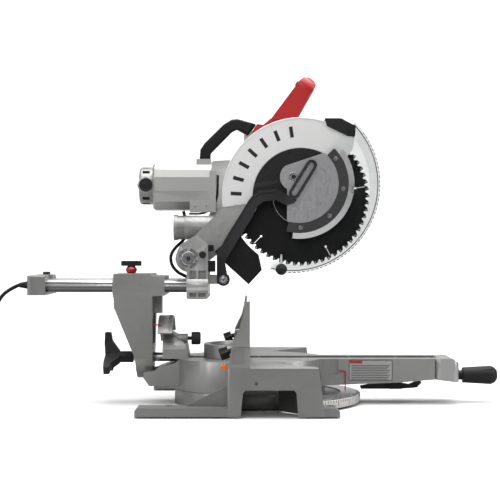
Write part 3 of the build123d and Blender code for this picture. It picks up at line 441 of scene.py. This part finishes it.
cord_radius = 0.004
route = [
    (-0.511, 0.0, 0.2584), (-0.541, -0.003, 0.246), (-0.561, -0.010, 0.213), (-0.574, -0.018, 0.172),
    (-0.589, -0.025, 0.128), (-0.600, -0.036, 0.084), (-0.621, -0.044, 0.042), (-0.656, -0.050, 0.018),
    (-0.692, -0.053, 0.0122), (-0.722, -0.053, 0.012),
]
coil_low, coil_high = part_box("cord_coil")
coil_centre = Vector(((coil_low[0] + coil_high[0]) / 2, (coil_low[1] + coil_high[1]) / 2, 0))
coil_outer = (coil_high[0] - coil_low[0]) / 2
coil_rows = 3
coil_layers = 2


def coil_points():
    """The turns of the put-away coil: in along the top layer, then out along the bottom one."""
    points = []
    outer = coil_outer - cord_radius
    inner = outer - (coil_rows - 1) * 2 * cord_radius
    steps = 16
    start = -math.pi / 2
    for layer in range(coil_layers):
        height = cord_radius * (3 - 2 * layer)
        total = coil_rows * steps
        for step in range(total + 1):
            part = step / total
            turn = 2 * math.pi * coil_rows * part
            along = part if layer == 0 else 1 - part
            radius = outer + (inner - outer) * along
            angle = start - turn
            x = coil_centre.x + radius * math.cos(angle)
            y = coil_centre.y + radius * math.sin(angle)
            points.append((x, y, height))
    return points


cord_line = route[:-1] + coil_points()
power_cord = nurbs("power_cord_line", cord_line, cord_radius, dark_rubber, "carriage")
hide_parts("power_cord", "cord_coil")

# ---- blade and guards ---------------------------------------------------
tooth_count = 60


def carbide_tips(shape):
    """A brazed tip on the front of every tooth."""
    for tooth in range(tooth_count):
        degrees = tooth * 360 / tooth_count
        turn = Matrix.Rotation(-math.radians(degrees + 0.9), 4, "Y")
        add_box(shape, polar(arbor, blade_r - 3.0 * MM, degrees + 0.9, 0), mm(6.2, 2.9, 2.6), turn)


def blade_marks(shape):
    """Plain ring printed on the blade near its flanges."""
    for y in (blade_low[1] - 0.15 * MM, blade_high[1] - 0.05 * MM):
        add_band(shape, arbor, 60 * MM, 61.5 * MM, 0, 360, y, y, 0.0002, 96)


mesh_piece("carbide_tips", "spindle", carbide, carbide_tips, 0.0002)
mesh_piece("blade_ring_mark", "spindle", scale_white, blade_marks, 0)

guard_face_y = guard_low[1]
mark_r, mark_count, mark_first, mark_step = 142 * MM, 7, 98.5, 13.2


def guard_marks(shape):
    """A row of plain radial bars on the upper guard."""
    for index in range(mark_count):
        degrees = mark_first + mark_step * index
        turn = Matrix.Rotation(-math.radians(degrees), 4, "Y")
        add_box(shape, polar(arbor, mark_r, degrees, guard_face_y), mm(24, 0.7, 8), turn)


mesh_piece("guard_mark_bars", "head", dark_plastic, guard_marks, 0.001)


def guard_rim(shape):
    """Rolled lip along the outer edge of the upper guard's near face."""
    outer = guard_high[2] - arbor.z
    y = guard_face_y - 0.9 * MM
    add_band(shape, arbor, outer - 3.4 * MM, outer - 0.4 * MM, 52, 187.5, y, y, 0.0012)


mesh_piece("guard_rim_lip", "head", bright_silver, guard_rim, 0.0004)


def cover_details(shape):
    """Small screws on the black side cover."""
    face_y = -36 * MM
    for radius, degrees in ((98, 175), (98, 140), (98, 105), (98, 70), (62, 165)):
        add_screw(shape, polar(arbor, radius * MM, degrees, face_y), NEAR, 2.4 * MM, 1.0 * MM)


mesh_piece("cover_screws", "head", dark_rubber, cover_details, 0.0002)

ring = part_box("guard_ring")
ring_middle = mm(107, 0, 481.5)
swing = mm(95.3, 0, 495.4)
plate_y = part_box("guard_plate")[0][1]


def guard_cone(shape):
    """Coned step round the guard ring, painted bright: a painted highlight on its slope."""
    near_y = ring[0][1] + 0.2 * MM
    add_band(shape, ring_middle, 108.6 * MM, 121 * MM, -97, 38, near_y, near_y + 2.4 * MM, 0.0006, 96)


def guard_lines(shape):
    """Moulded edge of the clear guard: a solid line and a row of short dashes inside it."""
    shell_middle = mm(90.5, 0, 479.6)
    y = -40.9 * MM
    add_band(shape, shell_middle, 187.6 * MM, 189.6 * MM, -103.5, 43.5, y, y, 0.0005, 120)
    for step in range(45):
        degrees = -98 + step * 3.0
        add_band(shape, shell_middle, 192.0 * MM, 194.0 * MM, degrees, degrees + 1.7, y, y, 0.0005, 3)


def plate_details(shape):
    """Raised bead that follows the guard plate's edge."""
    y = plate_y - 0.3 * MM
    add_band(shape, ring_middle, 62 * MM, 63.2 * MM, -75, 32, y, y, 0.0008)


def swing_screw(shape):
    """Shoulder screw that the lower guard turns on, with its washer."""
    profile = [(0, 0), (11, 0), (11, 0.5), (9.6, 0.9), (5, 0.9), (4.6, 0.4), (0, 0.4)]
    place = Vector((swing.x, -43.6 * MM, swing.z))
    add_turned_mm(shape, place, NEAR, profile)


mesh_piece("guard_cone_painted_highlight", "lower_guard", painted_highlight_cone_metal, guard_cone, 0.0002)
mesh_piece("guard_edge_lines", "lower_guard", dark_plastic, guard_lines, 0)
mesh_piece("guard_plate_bead", "lower_guard", plate_grey, plate_details, 0.0003)
mesh_piece("guard_swing_screw", "lower_guard", steel, swing_screw, 0.0002)


def knob_collar(shape):
    """Thin stem collar of the guard's ball knob."""
    low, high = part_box("guard_knob")
    place = Vector(((low[0] + high[0]) / 2, high[1] - 3 * MM, high[2] - 6 * MM))
    profile = [(0, 0), (3, 0), (2.2, 14), (1.6, 26), (0, 26)]
    add_turned_mm(shape, place, UP, profile, 16)


mesh_piece("guard_knob_stem", "lower_guard", steel, knob_collar, 0.0002)

link_pin = mm(-58, 0, 271.7)


def link_clip(shape):
    """Washer and clip on the link's lower pin."""
    profile = [(0, 0), (9, 0), (9, 0.8), (6, 0.8), (6, 2.2), (3.2, 3.0), (0, 3.0)]
    add_turned_mm(shape, link_pin + mm(0, -51.4, 0), NEAR, profile)


mesh_piece("link_pin_clip", "carriage", steel, link_clip, 0.0002)


def link_rim(shape):
    """Raised rib along the front edge of the guard link."""
    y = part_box("guard_link")[0][1]
    ridge = [(-57, 352), (-2, 446), (20, 461.5), (56, 465.5), (56, 462.5), (21, 458), (1, 443), (-54, 350)]
    add_plate_mm(shape, ridge, y - 1.1 * MM, y + 0.2 * MM)


mesh_piece("link_rib", "guard_link", dark_plastic, link_rim, 0.0005)

# ---- motor and handles --------------------------------------------------
brush = centre("brush_caps")
brush_near_y, brush_far_y = (corner[1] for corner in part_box("brush_caps"))
motor_low, motor_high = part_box("motor_housing")
cap_low, cap_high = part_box("motor_end_cap")


def brush_details(shape):
    """Slotted faces of the two brush caps."""
    for side in (-1, 1):
        near = brush_near_y if side < 0 else brush_far_y
        face = Vector((brush.x, near, brush.z))
        profile = [(0, 0), (15, 0), (15, 0.8), (12.5, 1.6), (11, 0.6), (8.5, 0.6), (7.5, 1.5), (0, 1.5)]
        add_turned_mm(shape, face, (0, side, 0), profile)
        slot = face + Vector((0, side * 1.4 * MM, 0))
        add_box(shape, slot, mm(12, 1.6, 2.2), Matrix.Rotation(0.6, 4, "Y"))


def brush_flange(shape):
    """Bright six-sided flange round each brush cap."""
    for side in (-1, 1):
        near = brush_near_y if side < 0 else brush_far_y
        face = Vector((brush.x, near - side * 4 * MM, brush.z))
        profile = [(15.2, 0), (20, 0), (20, 2.4), (17.5, 3.6), (15.2, 3.6), (15.2, 0)]
        add_turned_mm(shape, face, (0, side, 0), profile, 8)


def vent_painted_shade(shape):
    """Dark ring inside the end cap's cooling slots: painted shade, standing for the dark seen through them.
    """
    middle = Vector((cap_low[0] + 16 * MM, (cap_low[1] + cap_high[1]) / 2, (cap_low[2] + cap_high[2]) / 2))
    profile = [(37.4, -9), (38.2, -9), (38.2, 9), (37.4, 9), (37.4, -9)]
    add_turned_mm(shape, middle, RIGHT, profile, 48)


mesh_piece("brush_cap_faces", "head", dark_plastic, brush_details, 0.0003)
mesh_piece("brush_flanges", "head", silver, brush_flange, 0.0004)
# Painted shade behind the cooling slots.
mesh_piece("vent_painted_shade", "head", dark_rubber, vent_painted_shade, 0)


def motor_screws(shape):
    """Two screws low on the near side of the motor housing."""
    for back in (20, 46):
        place = Vector((motor_high[0] - back * MM, 12 * MM, motor_low[2] + 22 * MM - 8 * MM))
        add_screw(shape, place, NEAR, 3 * MM, 1.6 * MM)


mesh_piece("motor_screws", "head", steel, motor_screws, 0.0002)


def tube_piece(name, body, material, points, radius):
    """A round tube along a smooth curve that belongs to a housing."""
    piece = nurbs(name, points, radius, material, body, resolution=4, preview=12)
    return piece


gasket_y = 23 * MM
gasket = [(-72, 503), (-72, 478), (-73, 452), (-82, 434), (-96, 420), (-114, 416), (-136, 417)]
gasket_points = [(x * MM, gasket_y, z * MM) for x, z in gasket]
tube_piece("motor_gasket", "head", dark_rubber, gasket_points, 2.2 * MM)


def grip_ribs(shape):
    """Low ribs across the sloping part of the carry handle."""
    start, finish = mm(-103, 0, 566), mm(-56, 0, 616)
    lean = math.atan2(finish.z - start.z, finish.x - start.x)
    for step in range(12):
        place = start.lerp(finish, step / 11)
        add_box(shape, place + mm(1.0, 60, -1.0), mm(1.6, 20, 5.5), Matrix.Rotation(-lean, 4, "Y"))


mesh_piece("carry_handle_ribs", "head", dark_rubber, grip_ribs, 0.0005)

# ---- carriage and rails -------------------------------------------------
pivot = centre("pivot_pin")
pin_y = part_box("pivot_pin")[0][1]


def pivot_details(shape):
    """Bright ring and socket boss of the head's pivot pin."""
    profile = [(10.5, 0), (15.5, 0), (15.5, 2.4), (13.5, 3.4), (10.5, 3.4), (10.5, 0)]
    for side in (-1, 1):
        place = Vector((pivot.x, side * 80 * MM, pivot.z))
        add_turned_mm(shape, place, (0, side, 0), profile)


def pivot_socket(shape):
    """Six-lobed recess in the end of the pivot pin."""
    for step in range(6):
        turn = Matrix.Rotation(math.radians(60 * step), 4, "Y")
        place = Vector((pivot.x, pin_y - 0.05 * MM, pivot.z)) + turn.to_3x3() @ mm(3.2, 0, 0)
        add_box(shape, place, mm(4.4, 0.6, 2.0), turn)


mesh_piece("pivot_washers", "carriage", steel, pivot_details, 0.0003)
mesh_piece("pivot_socket", "carriage", dark_plastic, pivot_socket, 0.0002)


def bracket_knob(shape):
    """Low clamp knob on top of the rear bracket."""
    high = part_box("rear_bracket")[1]
    place = Vector((high[0] - 19 * MM, high[1] - 16 * MM, high[2]))
    profile = [(0, 0), (8, 0), (8.5, 2), (8, 5), (6.5, 6), (0, 6)]
    add_turned_mm(shape, place, UP, profile)


mesh_piece("bracket_knob", "carriage", dark_plastic, bracket_knob, 0.0004)

stem = centre("slide_lock_knob")
housing_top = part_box("bevel_arm")[1][2]


def stem_ring(shape):
    """Red skirt round the slide lock's stem."""
    place = Vector((stem.x, stem.y, housing_top + 1.5 * MM))
    profile = [(9.1, 0), (9.4, 0), (12.5, 5), (12.5, 8), (9.1, 12.5), (9.1, 0)]
    add_turned_mm(shape, place, UP, profile)


mesh_piece("slide_lock_skirt", "slide_lock_knob", red_plastic, stem_ring, 0.0003)

# ---- bevel and miter scales ---------------------------------------------
bevel_axis = Vector((0, 0, 100 * MM))


def bevel_ticks(shape):
    """Degree ticks over the top of the bevel scale."""
    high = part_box("bevel_scale")[1]
    radius = high[2] - bevel_axis.z
    for degrees in range(-48, 49, 2):
        angle = math.radians(degrees)
        y, z = radius * math.sin(angle), bevel_axis.z + radius * math.cos(angle)
        place = Vector((high[0] - 6 * MM, y, z))
        length = 11 if degrees % 10 == 0 else 6
        add_box(shape, place, mm(length, 0.7, 0.5), Matrix.Rotation(-angle, 4, "X"))


def miter_ticks(shape):
    """Degree ticks on the edge of the miter scale."""
    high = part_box("miter_scale")[1]
    radius = high[0]
    for degrees in range(-52, 53, 2):
        angle = math.radians(degrees)
        tall = 12 if degrees % 10 == 0 else 6
        z = high[2] - (tall / 2 + 0.5) * MM
        place = Vector((radius * math.cos(angle), radius * math.sin(angle), z))
        add_box(shape, place, mm(0.5, 1.3, tall), Matrix.Rotation(angle, 4, "Z"))


def bevel_pointer(shape):
    """Red pointer of the bevel scale, on the front face of the bevel arm."""
    outline = [(-212, 172.2), (-194, 172.8), (-192, 173.6), (-194, 174.5), (-212, 176)]
    add_plate_mm(shape, outline, -62 * MM, -58 * MM)


mesh_piece("bevel_scale_ticks", "turntable", dark_plastic, bevel_ticks, 0)
mesh_piece("miter_scale_ticks", "base", dark_plastic, miter_ticks, 0)
mesh_piece("bevel_pointer", "bevel_arm", red_plastic, bevel_pointer, 0.0003)

# ---- table, fence and base trim -----------------------------------------
arm_near_y = -60 * MM
plate_x, plate_z, plate_wide, plate_tall = 261.5, 75.5, 93, 43


def label_plate(shape):
    """Blank rating plate on the side of the miter arm."""
    place = Vector((plate_x * MM, arm_near_y - 0.4 * MM, plate_z * MM))
    add_box(shape, place, mm(plate_wide, 0.9, plate_tall))


def label_frame(shape):
    """Dark frame and grey bars on the plate, in place of any lettering."""
    y = arm_near_y - 0.95 * MM
    edges = (
        (plate_x, 97.2, plate_wide, 1.0), (plate_x, 53.8, plate_wide, 1.0),
        (215, plate_z, 1.0, plate_tall), (308, plate_z, 1.0, plate_tall),
    )
    for x, z, wide, tall in edges:
        add_box(shape, Vector((x * MM, y, z * MM)), mm(wide, 0.3, tall))
    for row in range(9):
        shift = 3 * (row % 3)
        place = Vector(((plate_x - shift / 2) * MM, y, (86 - 3.7 * row) * MM))
        add_box(shape, place, mm(84 - shift, 0.3, 1.1))


def label_block(shape):
    """Plain red block in the plate's upper corner."""
    add_box(shape, Vector((230 * MM, arm_near_y - 1.0 * MM, 93.2 * MM)), mm(27, 0.35, 5.5))


mesh_piece("rating_plate", "turntable", label_grey, label_plate, 0.0003)
mesh_piece("rating_plate_bars", "turntable", dark_plastic, label_frame, 0)
mesh_piece("rating_plate_block", "turntable", red_plastic, label_block, 0)


def arm_bolts(shape):
    """Screws along both throat plates."""
    plates_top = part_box("kerf_plates")[1][2]
    for x in (0.02, 0.12, 0.22, 0.32, 0.39):
        for y in (-0.0215, 0.0215):
            add_screw(shape, Vector((x, y, plates_top)), UP, 2.6 * MM, 0.5 * MM)


def fence_bolts(shape):
    """Bolts and washers that hold the fixed fence to the base."""
    for side in (-1, 1):
        for y in (196, 268):
            place = mm(-26, side * y, 110)
            add_turned_mm(shape, place, UP, [(0, 0), (8, 0), (8, 1.5), (0, 1.5)])
            add_turned_mm(shape, place + mm(0, 0, 1.5), UP, [(0, 0), (5.5, 0), (5.2, 4), (0, 4.4)], 6)


def wrench_clip(shape):
    """Small orange clip at the rear corner of the near wing."""
    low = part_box("base_casting")[0]
    outline = [(-58, 105), (-48, 107), (-46, 103), (-46, 98), (-55, 97), (-58, 100)]
    add_plate_mm(shape, outline, low[1] + 3 * MM, low[1] + 40 * MM)


def foot_bolts(shape):
    """Lag bolt washers in the four feet."""
    for x in (-165, 165):
        for y in (-250, 250):
            profile = [(5.2, 0), (9.5, 0), (9.5, 1.4), (5.2, 1.4), (5.2, 0)]
            add_turned_mm(shape, mm(x, y, 20.7), UP, profile)


mesh_piece("throat_screws", "turntable", steel, arm_bolts, 0.0001)
mesh_piece("fence_bolts", "base", steel, fence_bolts, 0.0002)
mesh_piece("wrench_clip", "base", orange_plastic, wrench_clip, 0.0005)
mesh_piece("foot_washers", "base", steel, foot_bolts, 0.0002)


def cap_screws(shape):
    """Two screws in the end of the miter arm's front cap."""
    face_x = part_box("arm_front_cap")[1][0]
    for side in (-1, 1):
        add_screw(shape, Vector((face_x, side * 40 * MM, 72 * MM)), RIGHT, 4 * MM, 2 * MM)


mesh_piece("front_cap_screws", "turntable", steel, cap_screws, 0.0002)

# ---- cord tie -----------------------------------------------------------
def coil_tie(shape):
    """Flat band that holds the put-away coil."""
    mean = coil_outer - coil_rows * cord_radius
    wide = coil_rows * cord_radius + 0.6 * MM
    height = 2 * coil_layers * cord_radius
    place = Vector((coil_centre.x, coil_centre.y + mean, height - 0.1 * MM))
    add_box(shape, place, Vector((10 * MM, 2 * wide, 1.0 * MM)))
    for side in (-1, 1):
        wall = place + Vector((0, side * wide, -height / 2 + 0.6 * MM))
        add_box(shape, wall, Vector((10 * MM, 1.0 * MM, height - 1.4 * MM)))


mesh_piece("coil_tie", "carriage", dark_rubber, coil_tie, 0.0003)

# ---- stage --------------------------------------------------------------
def make_stage():
    """A pale floor that curves up into a backdrop."""
    shape = bmesh.new()
    profile = [(-3.4, 0), (2.6, 0)]
    for step in range(1, 9):
        angle = step * math.pi / 16
        profile.append((2.6 + 1.2 * math.sin(angle), 1.2 - 1.2 * math.cos(angle)))
    profile.append((3.8, 4.5))
    rows = [[shape.verts.new((x, y, z)) for y, z in profile] for x in (-5, 5)]
    for i in range(len(profile) - 1):
        shape.faces.new((rows[0][i], rows[1][i], rows[1][i + 1], rows[0][i + 1]))
    mesh = bpy.data.meshes.new("studio_floor")
    shape.to_mesh(mesh)
    shape.free()
    for polygon in mesh.polygons:
        polygon.use_smooth = True
    floor = bpy.data.objects.new("studio_floor", mesh)
    bpy.context.scene.collection.objects.link(floor)
    material = surface("studio_paper", (0.90, 0.90, 0.90), 0.8, vary=0.005, grain=60,
                       depth=0.00005, specular=0.1)
    tree = material.node_tree
    shader = tree.nodes["Principled BSDF"]
    seen = tree.nodes.new("ShaderNodeLightPath")
    mix = tree.nodes.new("ShaderNodeMix")
    mix.data_type = "RGBA"
    tree.links.new(seen.outputs["Is Camera Ray"], mix.inputs["Factor"])
    mix.inputs[6].default_value = (0.45, 0.45, 0.45, 1)
    tree.links.new(shader.inputs["Base Color"].links[0].from_socket, mix.inputs[7])
    tree.links.new(mix.outputs[2], shader.inputs["Base Color"])
    mesh.materials.append(material)


def area_light(name, place, target, size, power):
    """A soft rectangular light aimed at a point."""
    light = bpy.data.lights.new(name, "AREA")
    light.shape = "RECTANGLE"
    light.size, light.size_y = size
    light.energy = power
    lamp = bpy.data.objects.new(name, light)
    lamp.location = place
    lamp.rotation_euler = (Vector(target) - Vector(place)).to_track_quat("-Z", "Y").to_euler()
    bpy.context.scene.collection.objects.link(lamp)


make_stage()
area_light("top_light", (0.1, -0.2, 2.3), (0, 0, 0.2), (2.6, 1.6), 46)
area_light("left_strip", (-2.2, -1.0, 1.2), (0, 0, 0.35), (0.5, 2.0), 16)
area_light("right_strip", (2.2, -0.9, 1.2), (0, 0, 0.35), (0.5, 2.0), 18)
area_light("front_fill", (-0.5, -3.4, 1.6), (0, 0, 0.35), (1.4, 0.9), 13)
area_light("backdrop_light", (0, 1.9, 2.6), (0, 3.8, 0.6), (4.5, 0.6), 60)
area_light("floor_light", (0, 1.0, 3.0), (0, 1.6, 0), (4.5, 1.2), 36)
world = bpy.data.worlds.new("studio")
bpy.context.scene.world = world
world.use_nodes = True
sky = world.node_tree
direction = sky.nodes.new("ShaderNodeTexCoord")
height = sky.nodes.new("ShaderNodeSeparateXYZ")
sky.links.new(direction.outputs["Generated"], height.inputs["Vector"])
sky_stops = [(0.0, (0.05, 0.05, 0.05)), (0.25, (0.16, 0.16, 0.16)), (0.7, (1.0, 1.0, 1.0))]
sky_colour = ramp(sky, height.outputs["Z"], sky_stops)
sky.links.new(sky_colour, sky.nodes["Background"].inputs["Color"])
sky.nodes["Background"].inputs["Strength"].default_value = 0.8
plain = sky.nodes.new("ShaderNodeBackground")
plain.inputs["Color"].default_value = (1, 1, 1, 1)
seen = sky.nodes.new("ShaderNodeLightPath")
either = sky.nodes.new("ShaderNodeMixShader")
sky.links.new(seen.outputs["Is Camera Ray"], either.inputs["Fac"])
sky.links.new(sky.nodes["Background"].outputs["Background"], either.inputs[1])
sky.links.new(plain.outputs["Background"], either.inputs[2])
sky.links.new(either.outputs["Shader"], sky.nodes["World Output"].inputs["Surface"])
bpy.context.scene.view_settings.view_transform = "Standard"

sensor_mm, lens_mm = 36, 94.35
camera_place = (0, -2.9, 0.336)
camera_data = bpy.data.cameras.new("camera")
camera_data.sensor_width = sensor_mm
camera_data.lens = lens_mm
camera = bpy.data.objects.new("camera", camera_data)
camera.location = camera_place
camera.rotation_euler = (math.pi / 2, 0, 0)
bpy.context.scene.collection.objects.link(camera)
bpy.context.scene.camera = camera
